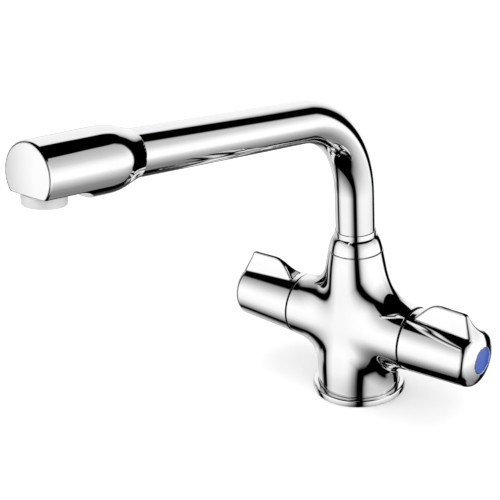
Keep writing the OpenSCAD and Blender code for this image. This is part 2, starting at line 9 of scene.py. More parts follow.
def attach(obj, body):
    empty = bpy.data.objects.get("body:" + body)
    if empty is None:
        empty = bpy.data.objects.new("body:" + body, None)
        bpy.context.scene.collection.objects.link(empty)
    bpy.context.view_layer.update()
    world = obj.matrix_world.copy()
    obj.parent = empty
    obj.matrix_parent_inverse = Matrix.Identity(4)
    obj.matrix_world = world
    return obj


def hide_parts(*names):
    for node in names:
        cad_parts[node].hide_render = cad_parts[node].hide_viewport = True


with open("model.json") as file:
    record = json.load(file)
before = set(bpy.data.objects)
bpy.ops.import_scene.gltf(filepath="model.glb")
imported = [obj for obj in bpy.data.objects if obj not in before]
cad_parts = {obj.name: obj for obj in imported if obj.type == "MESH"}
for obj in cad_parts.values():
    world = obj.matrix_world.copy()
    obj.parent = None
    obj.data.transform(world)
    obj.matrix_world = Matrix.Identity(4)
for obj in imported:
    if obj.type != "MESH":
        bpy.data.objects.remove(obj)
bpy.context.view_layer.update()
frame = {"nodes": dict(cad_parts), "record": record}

MM = 0.001
rad = math.radians


# ---- Camera, where the photograph was taken from, in millimetres and degrees
CAMERA_AT = (382.21, -521.669, 385.422)
CAMERA_TURN, CAMERA_RISE, CAMERA_ROLL = rad(41.45), rad(24.658), rad(-3.476)
CAMERA_LENS, CAMERA_SENSOR = 91.932, 36
NEAREST, FARTHEST = 0.01, 50


def place_camera():
    back = Vector((math.sin(CAMERA_TURN) * math.cos(CAMERA_RISE),
                   -math.cos(CAMERA_TURN) * math.cos(CAMERA_RISE), math.sin(CAMERA_RISE)))
    level = Vector((math.cos(CAMERA_TURN), math.sin(CAMERA_TURN), 0))
    upright = back.cross(level)
    right = math.cos(CAMERA_ROLL) * level + math.sin(CAMERA_ROLL) * upright
    up = math.cos(CAMERA_ROLL) * upright - math.sin(CAMERA_ROLL) * level
    lens = bpy.data.cameras.new("camera")
    lens.lens, lens.sensor_width = CAMERA_LENS, CAMERA_SENSOR
    lens.clip_start, lens.clip_end = NEAREST, FARTHEST
    camera = bpy.data.objects.new("camera", lens)
    bpy.context.collection.objects.link(camera)
    turn = Matrix((right, up, back)).transposed()
    camera.matrix_world = Matrix.Translation(Vector(CAMERA_AT) * MM) @ turn.to_4x4()
    bpy.context.scene.camera = camera


# ---- The tap's sizes, in millimetres, as in the part's source or a trim inside them
OPEN = 200  # a cut that leaves through an open end runs this far
TRIM, SEAT_GAP = 0.05, 0.1

# Body: base and ring, column, neck and collar, then the branches and what is cut into the casting
BASE_R, BASE_H, COLUMN_R, FOOT_R, LEDGE_Z = 26.58, 3.7, 23.2, 19.7, 1.6
NECK_Z, NECK_R, COLLAR_Z = 87.2, 15.3, 99
NUT_R, NUT_LOW_Z, NUT_SHOULDER_R, NUT_SHOULDER_Z = 13.75, 81.9, 15.22, NECK_Z + 0.35
HANDLE_Z, BRANCH_R, BRANCH_END = 41.5, 17.7, 38.4
SOCKET_R, SOCKET_Z, NUT_BORE_R, SHELF_Z = 12.05, 62, 13.9, 78
POCKET_R, POCKET_FLOOR, MOUTH_R, MOUTH_FLOOR = 10.4, 16, 12.1, 36.65
STUD_R, STUD_DEPTH = 3.4, 16
INLET_R, INLET_DEPTH, INLET_OFFSET, WATERWAY_R = 4.5, 14, 9.5, 3.6

# Where column and branches melt together: the fillets below and above, the least one, and how soft they are
BLEND_LOW, BLEND_HIGH, BLEND_LEAST, BLEND_SPAN = 18, 22, 3, 10
BLEND_SOFT, BLEND_SHARE = 0.4, 0.65
BRANCH_SWELL, SWELL_REACH = 0.5, 15
BRANCH_EDGE, NECK_EDGE, FOOT_EDGE = 0.8, 0.4, 0.3

# Spout: tube, nozzle with the flat below it, and aerator
TUBE_R, TUBE_WALL, TUBE_LOW_Z, TUBE_INSERT, BEND_R = 11, 1.2, 80.94, 7, 54
ARM_Z, ARM_TILT = 165.9, rad(10.2)
NOZZLE_START, NOZZLE_LEN, NOZZLE_DROOP = 167, 58, rad(1.2)
NOZZLE_BORE_R, NOZZLE_BORE_END, NARROW_BORE_R = 9.8, 22, 6.3
NOZZLE_FRONT_R, FRONT_DOME, FRONT_EDGE, BACK_EDGE = 14.1, 0.9, 1.3, 0.2
FLAT_DROP, FLAT_LEN, FLAT_SLOPE, FLAT_FILLET, FLAT_EDGE = 8.6, 24.5, rad(38), 3, 0.5
AERATOR_R, AERATOR_SHOW, AERATOR_THREAD_R, AERATOR_THREAD_H, AERATOR_WALL = 9.75, 5, 8.6, 5.5, 1.3
AERATOR_LIP, AERATOR_HOLE_H, AERATOR_AT = 0.9, 6.6, NOZZLE_LEN - AERATOR_R - 0.4

# Handles: hub, fin, the boss and holes inside, and the index disc at the end
HANDLE_START, HANDLE_SEAT, HANDLE_WALL, HOLLOW_END = 38.9, 81.45, 2, 73.95
HANDLE_TAPER, TAPER_LEN = 1.5, 36.65
HANDLE_START_EDGE, HANDLE_END_EDGE, FIN_EDGE = 0.35, 2.2, 1.5
FIN_TOP, FIN_TIP, FIN_LEAN, FIN_TILT = 26.6, 2.2, 1.9, rad(21.8)
FIN_FILLET, FIN_BACK, FIN_CURL, FIN_CURL_REACH = 1.5, 14, 0.14, 4.5
BOSS_R, BOSS_START, BUSH_R, BUSH_START, BUSH_END = 9.4, 52.85, 7.75, 40, 63.95
SCREW_HOLE_R, SCREW_HOLE_START, SCREW_HOLE_END = 2.05, 60, 70
SCREW_HEAD_R, SCREW_HEAD_START = 4.3, 66.55
INDEX_SEAT_R, INDEX_SEAT_DEPTH = 7.35, 1.6
INDEX_R, INDEX_DEPTH, INDEX_EDGE, INDEX_DOME = 7.15, 1.55, 0.35, 0.5


# ---- Mesh making
PLACE_DIGITS = 9  # of a metre, in a point's place
SLOPE_STEP, NORMAL_STEP = 0.01, 0.004  # millimetres to both sides of a point
PULLS, PULL_REACH = 5, 0.6  # how often, and how many grid steps at most each time
TINY, TINY_SQUARE = 1e-9, 1e-6  # least length and least square to divide by


def spline(xs, ys):
    """A smooth curve through stations, with its value and slope at any place; it runs on straight outside."""
    xs, ys = np.array(xs, float), np.array(ys, float)
    step = np.diff(xs)
    n = len(xs)
    sums, rise = np.eye(n), np.zeros(n)
    for i in range(1, n - 1):
        sums[i, i - 1:i + 2] = step[i - 1], 2 * (step[i - 1] + step[i]), step[i]
        rise[i] = 6 * ((ys[i + 1] - ys[i]) / step[i] - (ys[i] - ys[i - 1]) / step[i - 1])
    bend = np.linalg.solve(sums, rise)

    def value(x):
        at = np.clip(x, xs[0], xs[-1])
        i = np.clip(np.searchsorted(xs, at) - 1, 0, n - 2)
        h, a, b = step[i], xs[i + 1] - at, at - xs[i]
        y = (bend[i] * a ** 3 + bend[i + 1] * b ** 3) / (6 * h)
        y = y + (ys[i] / h - bend[i] * h / 6) * a + (ys[i + 1] / h - bend[i + 1] * h / 6) * b
        slope = (bend[i + 1] * b ** 2 - bend[i] * a ** 2) / (2 * h) + (ys[i + 1] - ys[i]) / h
        slope = slope - (bend[i + 1] - bend[i]) * h / 6
        return y + slope * (x - at), slope
    return value


def both(a, b, r=0.0):
    """What lies in both solids, with the edge between them rounded to r."""
    if np.isscalar(r) and r == 0:
        return np.maximum(a, b)
    return np.minimum(-r, np.maximum(a, b)) + np.hypot(np.maximum(r + a, 0), np.maximum(r + b, 0))


def either(a, b, r=0.0):
    """What lies in either solid, with the corner between them filled to r."""
    return -both(-a, -b, r)


def melted(a, b, r):
    """What lies in either solid, with a corner filled so gently that reflections run through it unbroken."""
    fill = BLEND_SOFT * r
    soft = -fill * np.log(np.exp(-a / fill) + np.exp(-b / fill))
    return soft * BLEND_SHARE + either(a, b, r) * (1 - BLEND_SHARE)


def without(solid, holes):
    """What is left of a solid once the holes are cut."""
    for hole in holes:
        solid = np.maximum(solid, -hole)
    return solid


def bore(low, high, along, across, r):
    """A round hole of radius r from low to high along its axis."""
    return np.maximum(across - r, np.maximum(low - along, along - high))


def ticks(*spans):
    """Grid stations from (start, end, step) spans that follow on from each other."""
    parts = [np.linspace(a, b, max(2, int(round((b - a) / s)) + 1)) for a, b, s in spans]
    return np.unique(np.round(np.concatenate(parts), 6))


def slopes(field, p, h):
    """How fast a field grows along X, Y and Z at points, taken over h to both sides."""
    grad = np.empty_like(p)
    for axis in range(3):
        lo, hi = p.copy(), p.copy()
        lo[:, axis] -= h
        hi[:, axis] += h
        grad[:, axis] = (field(*hi.T) - field(*lo.T)) / (2 * h)
    return grad


def crossings(value, cells, corners, axes):
    """For each cell, the middle of the places where its edges cross the surface."""
    total, hits = np.zeros((len(cells), 3)), np.zeros(len(cells))
    for a in corners:
        for axis in range(3):
            if a[axis]:
                continue
            b = tuple(v + (axis == n) for n, v in enumerate(a))
            va, vb = value[tuple((cells + a).T)], value[tuple((cells + b).T)]
            cross = (va < 0) != (vb < 0)
            t = np.where(cross, va / np.where(cross, va - vb, 1), 0)
            for n in range(3):
                pa, pb = axes[n][cells[:, n] + a[n]], axes[n][cells[:, n] + b[n]]
                total[:, n] += np.where(cross, pa + (pb - pa) * t, 0)
            hits += cross
    return total / hits[:, None]


def pulled(field, points, reach):
    """The points moved onto the surface along its slope, each time no further than reach."""
    for _ in range(PULLS):
        grad = slopes(field, points, SLOPE_STEP)
        move = -grad * (field(*points.T) / np.maximum((grad ** 2).sum(1), TINY_SQUARE))[:, None]
        length = np.linalg.norm(move, axis=1)
        points = points + move * np.minimum(1, reach / np.maximum(length, TINY))[:, None]
    return points


def outer_faces(inside, number):
    """A four sided face across each grid edge with one end inside the solid, seen from outside."""
    faces = []
    for axis in range(3):
        u, v = (axis + 1) % 3, (axis + 2) % 3
        low, high = [slice(1, -1)] * 3, [slice(1, -1)] * 3
        low[axis], high[axis] = slice(0, -1), slice(1, None)
        here, there = inside[tuple(low)], inside[tuple(high)]
        edge = np.argwhere(here != there)
        out = here[tuple(edge.T)]
        edge[:, u] += 1
        edge[:, v] += 1
        ring = []
        for du, dv in ((-1, -1), (0, -1), (0, 0), (-1, 0)):
            cell = edge.copy()
            cell[:, u] += du
            cell[:, v] += dv
            ring.append(number[tuple(cell.T)])
        ring = np.array(ring).T
        ring[~out] = ring[~out][:, ::-1]
        faces.append(ring)
    return np.concatenate(faces)


def skin(field, xs, ys, zs):
    """The surface of a solid given by its field, as points on it, four sided faces and exact normals."""
    value = field(*np.meshgrid(xs, ys, zs, indexing="ij"))
    inside = value < 0
    corners = [(i, j, k) for i in (0, 1) for j in (0, 1) for k in (0, 1)]
    shape = [n - 1 for n in value.shape]
    count = sum(inside[i:i + shape[0], j:j + shape[1], k:k + shape[2]].astype(np.int8) for i, j, k in corners)
    cells = np.argwhere((count > 0) & (count < 8))
    number = np.full(shape, -1, np.int64)
    number[tuple(cells.T)] = np.arange(len(cells))
    axes = (xs, ys, zs)
    points = pulled(field, crossings(value, cells, corners, axes),
                    PULL_REACH * min(np.diff(a).min() for a in axes))
    normals = slopes(field, points, NORMAL_STEP)
    normals /= np.maximum(np.linalg.norm(normals, axis=1), TINY)[:, None]
    return points, outer_faces(inside, number), normals


def add_piece(name, points, faces, normals=None, crease=None):
    """A mesh object from points in millimetres."""
    mesh = bpy.data.meshes.new(name)
    places = np.round(np.asarray(points) * MM, PLACE_DIGITS) + 0.0
    mesh.from_pydata(places.tolist(), [], faces.tolist() if isinstance(faces, np.ndarray) else faces)
    mesh.validate(clean_customdata=False)
    mesh.shade_smooth()
    if crease is not None:
        mesh.set_sharp_from_angle(angle=rad(crease))
    if normals is not None:
        mesh.normals_split_custom_set_from_vertices(normals.tolist())
    piece = bpy.data.objects.new(name, mesh)
    bpy.context.collection.objects.link(piece)
    return piece


def rings_to_mesh(rings):
    """Points and faces that join rings of the same count, and the last to the first."""
    count, around = len(rings), len(rings[0])
    faces = []
    for i in range(count):
        j = (i + 1) % count
        for k in range(around):
            n = (k + 1) % around
            faces.append((i * around + k, i * around + n, j * around + n, j * around + k))
    return np.concatenate(rings), np.array(faces)


def turned(profile, around):
    """A closed outline of (radius, height) turned about Z."""
    a = np.linspace(0, 2 * math.pi, around, endpoint=False)
    rings = [np.stack([r * np.cos(a), r * np.sin(a), np.full_like(a, z)], 1) for r, z in profile]
    return rings_to_mesh(rings)


def turned_solid(profile, around):
    """An outline of (radius, height) that starts and ends on the axis, turned about Z."""
    points, faces = turned(profile[1:-1], around)
    faces = faces[:(len(profile) - 3) * around]
    n = len(points)
    points = np.concatenate([points, [[0, 0, profile[0][1]], [0, 0, profile[-1][1]]]])
    last = n - around
    fans = [(n, (k + 1) % around, k) for k in range(around)]
    fans += [(n + 1, last + k, last + (k + 1) % around) for k in range(around)]
    return points, [tuple(f) for f in faces.tolist()] + fans


def rounded(corners, steps=6):
    """An outline of (radius, height) from corners (radius, height, round), each rounded to its third value."""
    out = []
    n = len(corners)
    for i, (x, y, r) in enumerate(corners):
        p = np.array((x, y), float)
        if r == 0:
            out.append(tuple(p))
            continue
        a, b = np.array(corners[i - 1][:2], float) - p, np.array(corners[(i + 1) % n][:2], float) - p
        a, b = a / np.linalg.norm(a), b / np.linalg.norm(b)
        half = math.acos(max(-1, min(1, float(a @ b)))) / 2
        reach = r / math.tan(half)
        middle = p + (a + b) / np.linalg.norm(a + b) * r / math.sin(half)
        start, end = p + a * reach - middle, p + b * reach - middle
        u, v = math.atan2(start[1], start[0]), math.atan2(end[1], end[0])
        turn = (v - u + math.pi) % (2 * math.pi) - math.pi
        for k in range(steps + 1):
            w = u + turn * k / steps
            out.append((middle[0] + r * math.cos(w), middle[1] + r * math.sin(w)))
    return out


# ---- Where things lie
def turn_x(points, angle):
    c, s = math.cos(angle), math.sin(angle)
    x, y, z = np.asarray(points).T
    return np.stack([x, y * c - z * s, y * s + z * c], 1)


def from_arm(points):
    return turn_x(points, math.pi / 2 - ARM_TILT) + [0, 0, ARM_Z]


def from_nozzle(points):
    return from_arm(turn_x(points, NOZZLE_DROOP) + [0, 0, NOZZLE_START])


def from_aerator(points):
    x, y, z = np.asarray(points).T
    return from_nozzle(np.stack([x, -FLAT_DROP - z, AERATOR_AT + y], 1))


def from_side(points, side):
    x, y, z = np.asarray(points).T
    return np.stack([side * z, x, HANDLE_Z + y], 1)


# ---- Body
BODY_STEP, BODY_FINE = 0.75, 0.28
BASE_SIDES, COLLAR_SIDES = 200, 160

column_profile = spline([-2, 8, 18, 26, 34, 42, 50, 60, 70, 76, 80, 84, NECK_Z, 92],
                        [COLUMN_R, COLUMN_R, 22.85, 21.9, 20.2, 18.9, 18.3, 17.85, 17.35, 16.85, 16.35, 15.75,
                         NECK_R, 14.4])


def body_field(x, y, z):
    """Column and branches in one casting, with the sockets, pockets and waterways cut into it."""
    r, slope = column_profile(z)
    around = np.hypot(x, y)
    column = (around - r) / np.hypot(1, slope)
    across = np.hypot(y, z - HANDLE_Z)
    branch = across - BRANCH_R - BRANCH_SWELL * np.exp(-(x / SWELL_REACH) ** 2)
    alike = y * y / np.maximum(around * across, TINY_SQUARE)
    crossing = (1 - np.sqrt((1 + alike) / 2)) / (1 - math.sqrt(0.5))
    ball = BLEND_LOW + (BLEND_HIGH - BLEND_LOW) * (0.5 + 0.5 * np.tanh((z - HANDLE_Z) / BLEND_SPAN))
    solid = melted(column, branch, BLEND_LEAST + (ball - BLEND_LEAST) * crossing)
    solid = both(solid, np.abs(x) - BRANCH_END, BRANCH_EDGE)
    solid = both(solid, z - NECK_Z, NECK_EDGE)
    solid = both(solid, LEDGE_Z - z, FOOT_EDGE)
    foot = both(around - FOOT_R, np.maximum(-z, z - LEDGE_Z - 1), FOOT_EDGE)
    far = np.abs(x)
    from_inlet = np.hypot(far - INLET_OFFSET, y)
    return without(either(solid, foot), [
        bore(SOCKET_Z, OPEN, z, around, SOCKET_R),
        bore(SHELF_Z, OPEN, z, around, NUT_BORE_R),
        bore(-OPEN, STUD_DEPTH, z, around, STUD_R),
        bore(POCKET_FLOOR, OPEN, far, across, POCKET_R),
        bore(MOUTH_FLOOR, OPEN, far, across, MOUTH_R),
        bore(INLET_OFFSET, POCKET_FLOOR + 1, far, across, WATERWAY_R),
        bore(-OPEN, INLET_DEPTH, z, from_inlet, INLET_R),
        bore(0, HANDLE_Z, z, from_inlet, WATERWAY_R),
    ])


def make_body():
    end, top = BRANCH_END + 0.8, NECK_Z + 1
    coarse, low = BRANCH_END - 2, NECK_Z - 1.6
    xs = ticks((-end, -coarse, BODY_FINE), (-coarse, coarse, BODY_STEP), (coarse, end, BODY_FINE))
    ys = ticks((-26, 26, BODY_STEP))
    zs = ticks((-1, 5, 0.6), (5, low, BODY_STEP), (low, top, 0.26))
    points, faces, normals = skin(body_field, xs, ys, zs)
    return add_piece("tap_body_casting", points, faces, normals)


def make_base_ring():
    foot, column = FOOT_R + SEAT_GAP, COLUMN_R + SEAT_GAP
    corners = [(foot, 0, 0), (BASE_R, 0, 0.25), (BASE_R, BASE_H, 1.0), (COLUMN_R + 0.45, BASE_H, 0.35),
               (column, BASE_H - 0.9, 0), (column, LEDGE_Z, 0), (foot, LEDGE_Z, 0)]
    points, faces = turned(rounded(corners), BASE_SIDES)
    return add_piece("base_flange_ring", points, faces, crease=50)


collar_profile = spline([87.7, 89, 90.4, 91.8, 93.1, 94.2, 94.9, 95.4, 95.75, 96.0],
                        [15.25, 14.97, 14.6, 14.15, 13.65, 13.1, 12.65, 12.2, 11.8, 11.4])


def make_collar():
    shoulder = [(float(collar_profile(z)[0]), z, 0) for z in np.linspace(NECK_Z + 0.75, 95.85, 40)]
    lip, hole = shoulder[-1][0], TUBE_R + SEAT_GAP
    outline = [(NUT_R, NUT_SHOULDER_Z, 0), (NUT_SHOULDER_R, NUT_SHOULDER_Z, 0.2)] + shoulder
    outline += [(lip, COLLAR_Z, 0.5), (hole, COLLAR_Z, 0), (hole, NUT_LOW_Z, 0), (NUT_R, NUT_LOW_Z, 0)]
    points, faces = turned(rounded(outline), COLLAR_SIDES)
    return add_piece("collar_lock_nut", points, faces, crease=35)


# ---- Spout
TUBE_SIDES, LEG_STEPS, BEND_STEPS, ARM_STEPS = 128, 6, 72, 12
AERATOR_SIDES = 120


def make_tube():
    bend = math.pi / 2 - ARM_TILT
    leg = BEND_R * math.tan(bend / 2)
    foot, knee = TUBE_LOW_Z, ARM_Z - leg
    stations = [(0, foot + (knee - foot) * i / LEG_STEPS, 0) for i in range(LEG_STEPS)]
    stations += [(-BEND_R * (1 - math.cos(a)), knee + BEND_R * math.sin(a), a)
                 for a in np.linspace(0, bend, BEND_STEPS)]
    stations += [(-d * math.cos(ARM_TILT), ARM_Z + d * math.sin(ARM_TILT), bend)
                 for d in np.linspace(leg, NOZZLE_START + TUBE_INSERT, ARM_STEPS)[1:]]
    around = np.linspace(0, 2 * math.pi, TUBE_SIDES, endpoint=False)

    def ring(y, z, lean, r):
        return np.stack([r * np.cos(around), y + r * np.sin(around) * math.cos(lean),
                         z + r * np.sin(around) * math.sin(lean)], 1)
    rings = [ring(y, z, a, TUBE_R) for y, z, a in stations]
    rings += [ring(y, z, a, TUBE_R - TUBE_WALL) for y, z, a in reversed(stations)]
    points, faces = rings_to_mesh(rings)
    return add_piece("bent_spout_tube", points, faces, crease=50)


nozzle_profile = spline([-3, 0, 2, 4, 6, 8, 10, 12, 14, 17, 24, 40, 58, 62],
                        [10.9, 11.45, 11.9, 12.4, 12.95, 13.5, 14.0, 14.38, 14.63, 14.78, 14.73, 14.46, 14.1,
                         14.03])


def nozzle_field(x, y, t):
    """The nozzle along its own axis t, with the flat below it, the tube's socket and the aerator's hole."""
    around = np.hypot(x, y)
    r, slope = nozzle_profile(t)
    solid = (around - r) / np.hypot(1, slope)
    solid = both(solid, t - NOZZLE_LEN + FRONT_DOME * (around / NOZZLE_FRONT_R) ** 2, FRONT_EDGE)
    below = -FLAT_DROP - y
    run_in = (t - NOZZLE_LEN + FLAT_LEN) * math.sin(FLAT_SLOPE) + below * math.cos(FLAT_SLOPE)
    solid = both(solid, either(below, run_in, FLAT_FILLET), FLAT_EDGE)
    solid = both(solid, -t, BACK_EDGE)
    arm_y, arm_t = y - t * math.sin(NOZZLE_DROOP), t * math.cos(NOZZLE_DROOP)
    beside = np.hypot(x, arm_y)
    return without(solid, [
        bore(-OPEN, TUBE_INSERT + SEAT_GAP, arm_t, beside, TUBE_R + TRIM),
        bore(0, NOZZLE_BORE_END, arm_t, beside, NOZZLE_BORE_R),
        bore(0, AERATOR_AT, arm_t, beside, NARROW_BORE_R),
        bore(-1, AERATOR_HOLE_H, y + FLAT_DROP, np.hypot(x, t - AERATOR_AT), AERATOR_THREAD_R + SEAT_GAP),
    ])


def make_nozzle():
    xs = ticks((-15.6, 15.6, 0.5))
    ts = ticks((-0.8, 2.2, 0.25), (2.2, 55.6, 0.6), (55.6, 58.6, 0.25))
    points, faces, normals = skin(nozzle_field, xs, xs, ts)
    return add_piece("spout_nozzle", from_nozzle(points), faces,
                     from_nozzle(normals) - from_nozzle(np.zeros((1, 3))))


def make_aerator():
    inner, lip = AERATOR_THREAD_R - AERATOR_WALL, AERATOR_SHOW - AERATOR_LIP
    mouth = inner - AERATOR_LIP
    corners = [(AERATOR_THREAD_R, -AERATOR_THREAD_H, 0), (AERATOR_THREAD_R, SEAT_GAP, 0), (AERATOR_R, SEAT_GAP, 0.2),
               (AERATOR_R - 0.1, AERATOR_SHOW, 0.9), (mouth, AERATOR_SHOW, 0.3), (mouth, lip, 0), (inner, lip, 0),
               (inner, -AERATOR_THREAD_H, 0)]
    points, faces = turned(rounded(corners), AERATOR_SIDES)
    return add_piece("aerator_ring", from_aerator(points), faces, crease=40)


# ---- Handles
INDEX_SIDES = 96

fin_profile = spline([36, 39.3, 42.5, 46, 50.5, 53.5, 56.5, 60, 90],
                     [8.2, 13, 17, 20.6, 24.6, 26.15, FIN_TOP, FIN_TOP, FIN_TOP])
end_profile = spline([0, 4, 7.35, 11, 14.4, 18.5, 22.5, 26.6, 30],
                     [82.8, 82.3, 81.5, 80.5, 79.0, 76.9, 75.1, 73.5, 72.2])


def fin_front(x, y, r):
    """The fin's flat front, curled a little at its foot, with the fillet onto a hub of radius r."""
    s, c = math.sin(FIN_TILT), math.cos(FIN_TILT)
    tip = -FIN_LEAN - FIN_TIP / 2 + FIN_CURL * FIN_CURL_REACH
    front = (tip - x) * c + (y - FIN_TOP) * s
    down = (tip - x) * s + (FIN_TOP - y) * c
    side_x, side_y = tip - FIN_FILLET * c, FIN_TOP + FIN_FILLET * s
    drop = side_y * c + side_x * s
    run = drop - np.sqrt(drop ** 2 - side_x ** 2 - side_y ** 2 + (r + FIN_FILLET) ** 2)
    fillet_x, fillet_y = side_x - run * s, side_y - run * c
    front = np.where(down < run, front - FIN_CURL / 2 * (run - down) ** 2 / run,
                     FIN_FILLET - np.hypot(x - fillet_x, y - fillet_y))
    return front, (fillet_x * y - fillet_y * x) / np.hypot(fillet_x, fillet_y)


def fin_back(x, y, r):
    """The fin's hollow back, which meets a hub of radius r without an edge."""
    tip = FIN_TIP / 2 - FIN_LEAN
    far, reach = math.hypot(tip, FIN_TOP), r + FIN_BACK
    lean = math.atan2(tip, FIN_TOP) + np.arccos((reach ** 2 + far ** 2 - FIN_BACK ** 2) / (2 * reach * far))
    away_x, away_y = np.sin(lean), np.cos(lean)
    back = FIN_BACK - np.hypot(x - reach * away_x, y - reach * away_y)
    return back, away_y * x - away_x * y


def handle_field(x, y, s):
    """A handle with its fin up, at s along the branch from the tap's middle."""
    around = np.hypot(x, y)
    r = BRANCH_R - (s - HANDLE_START) * HANDLE_TAPER / TAPER_LEN
    front, front_end = fin_front(x, y, r)
    back, back_end = fin_back(x, y, r)
    height, slope = fin_profile(s)
    fin = both(np.maximum(front, back), (y - height) / np.hypot(1, slope), FIN_EDGE)
    solid = np.minimum(around - r, np.maximum(fin, np.maximum(front_end, back_end)))
    end, slope = end_profile(around)
    solid = both(solid, (s - end) / np.hypot(1, slope), HANDLE_END_EDGE)
    solid = both(solid, HANDLE_START - s, HANDLE_START_EDGE)
    boss = bore(BOSS_START, OPEN, s, around, BOSS_R)
    return without(solid, [
        np.maximum(bore(-OPEN, HOLLOW_END, s, around, r - HANDLE_WALL), -boss),
        bore(BUSH_START, BUSH_END, s, around, BUSH_R),
        bore(SCREW_HOLE_START, SCREW_HOLE_END, s, around, SCREW_HOLE_R),
        bore(SCREW_HEAD_START, OPEN, s, around, SCREW_HEAD_R),
        bore(HANDLE_SEAT - INDEX_SEAT_DEPTH, OPEN, s, around, INDEX_SEAT_R),
    ])


def make_handles():
    xs = ticks((-18.6, -7, 0.6), (-7, 7, 0.4), (7, 18.6, 0.6))
    ys = ticks((-18.6, 11, 0.6), (11, 27.6, 0.45))
    ss = ticks((38.2, 41, 0.28), (41, 72, 0.8), (72, 82.3, 0.42))
    points, faces, normals = skin(handle_field, xs, ys, ss)
    for side, word in ((1, "cold"), (-1, "hot")):
        turned_normals = from_side(normals, side) - [0, 0, HANDLE_Z]
        ring = faces if side > 0 else faces[:, ::-1]
        yield word, add_piece(word + "_tap_handle", from_side(points, side), ring, turned_normals)


def make_index(side, word):
    r, top, edge = INDEX_R, HANDLE_SEAT, INDEX_EDGE
    profile = [(0, top - INDEX_DEPTH), (r, top - INDEX_DEPTH), (r, top - edge)]
    profile += [(r - edge + edge * math.cos(a), top - edge + edge * math.sin(a)) for a in np.linspace(0.2, 1.35, 5)]
    profile += [(q, top + INDEX_DOME - INDEX_DOME * (q / r) ** 2) for q in np.linspace(r - 0.5, 0.3, 10)]
    profile += [(0, top + INDEX_DOME)]
    points, faces = turned_solid(profile, INDEX_SIDES)
    if side < 0:
        faces = [f[::-1] for f in faces]
    return add_piece(word + "_index_button", from_side(points, side), faces, crease=50)


# ---- Materials
class Sum:
    """A shader value that can be used in sums."""

    def __init__(self, tree, socket):
        self.tree, self.socket = tree, socket

    def __add__(self, other):
        return self.tree.sum_of("ADD", self, other)

    def __sub__(self, other):
        return self.tree.sum_of("SUBTRACT", self, other)

    def __rsub__(self, other):
        return self.tree.sum_of("SUBTRACT", other, self)

    def __mul__(self, other):
        return self.tree.sum_of("MULTIPLY", self, other)

    __radd__, __rmul__ = __add__, __mul__


class Tree:
    """A node tree that is written as sums and shows one shader."""

    def __init__(self, owner, shader, output):
        owner.use_nodes = True
        self.nodes, self.links = owner.node_tree.nodes, owner.node_tree.links
        self.nodes.clear()
        surface = self.add(shader)
        self.shader = surface.socket.node
        self.add(output, None, surface)

    def add(self, kind, settings=None, *values, out=0, **named):
        """A node of one kind: its settings first, then its sockets, by place or by name."""
        node = self.nodes.new(kind)
        for key, value in (settings or {}).items():
            if key == "stops":
                self.set_stops(node.color_ramp.elements, value)
            else:
                setattr(node, key, value)
        for key, value in list(enumerate(values)) + [(k.replace("_", " "), v) for k, v in named.items()]:
            self.feed(node.inputs[key], value)
        return Sum(self, node.outputs[out] if len(node.outputs) else None)

    def set_stops(self, elements, stops):
        while len(elements) < len(stops):
            elements.new(0.5)
        for element, (at, level) in zip(elements, stops):
            element.position = at
            element.color = (level, level, level, 1)

    def feed(self, socket, value):
        if isinstance(value, Sum):
            self.links.new(value.socket, socket)
        elif value is not None:
            socket.default_value = value

    def set(self, **named):
        for key, value in named.items():
            self.feed(self.shader.inputs[key.replace("_", " ")], value)

    def sum_of(self, kind, *values):
        return self.add("ShaderNodeMath", {"operation": kind}, *values)

    def parts_of(self, vector):
        node = self.add("ShaderNodeSeparateXYZ", None, vector).socket.node
        return [Sum(self, socket) for socket in node.outputs]

    def ramp(self, value, low, high, stops):
        """A level that runs through the stops, given at values between low and high."""
        shares = [((at - low) / (high - low), level) for at, level in sorted(stops)]
        return self.add("ShaderNodeValToRGB", {"stops": shares}, self.spread(value, low, high))

    def spread(self, value, low, high):
        """0 at low to 1 at high, in a straight line."""
        return self.add("ShaderNodeMapRange", {"clamp": True}, value, low, high)

    def ease(self, value, low, high):
        """0 at low to 1 at high, soft at both ends."""
        return self.add("ShaderNodeMapRange", {"interpolation_type": "SMOOTHSTEP"}, value, low, high)

    def blend(self, share, a, b):
        """A colour between two; five sockets for numbers and vectors come before a Mix node's colours."""
        return self.add("ShaderNodeMix", {"data_type": "RGBA"}, share, *[None] * 5, a, b, out=2)


class Look(Tree):
    """One material and the nodes in it."""

    def __init__(self, name):
        self.material = bpy.data.materials.new(name)
        super().__init__(self.material, "ShaderNodeBsdfPrincipled", "ShaderNodeOutputMaterial")

    def place(self):
        return self.add("ShaderNodeTexCoord", out="Object")

    def noise(self, scale, detail, rough=0.5):
        return self.add("ShaderNodeTexNoise", None, Vector=self.place(), Scale=scale, Detail=detail, Roughness=rough)

    def bump(self, height, depth, strength):
        return self.add("ShaderNodeBump", None, Strength=strength, Distance=depth, Height=height)


PLATE_TINT, PLATE_WORN, PLATE_SHINE, PLATE_PEEL = 0.9, 0.87, 0.025, 0.00001
SMUDGE_SCALE, SPECK_SCALE, PEEL_SCALE = 28.0, 420.0, 60.0
# dark colour and soft edge of the painted shade in the gap between branch and handle
GAP_SHADE_TINT, GAP_SHADE_EDGE = 0.02, 0.08
MOTTLE_SCALE, MOTTLE_SHARE, COAT_ROUGHNESS = 90.0, 0.93, 0.08
TARNISH_SCALE, TARNISH_SHARE, TOOL_SCALE, TOOL_DEPTH = 120.0, 0.8, 1500.0, 0.00002


def paint(colour, share=1.0):
    return tuple(c * share for c in colour) + (1,)


def painted_gap_shade(look, start, end):
    """Painted shade: 1 between two distances from the tap's middle along the branches, in millimetres, and 0
    elsewhere;
    the plate is painted dark there to stand for the shadow in the gap between branch and handle.
    """
    far = look.sum_of("ABSOLUTE", look.parts_of(look.place())[0])
    begun = look.ease(far, (start - GAP_SHADE_EDGE) * MM, (start + GAP_SHADE_EDGE) * MM)
    ended = look.ease(far, (end - GAP_SHADE_EDGE) * MM, (end + GAP_SHADE_EDGE) * MM)
    return begun * (1 - ended)


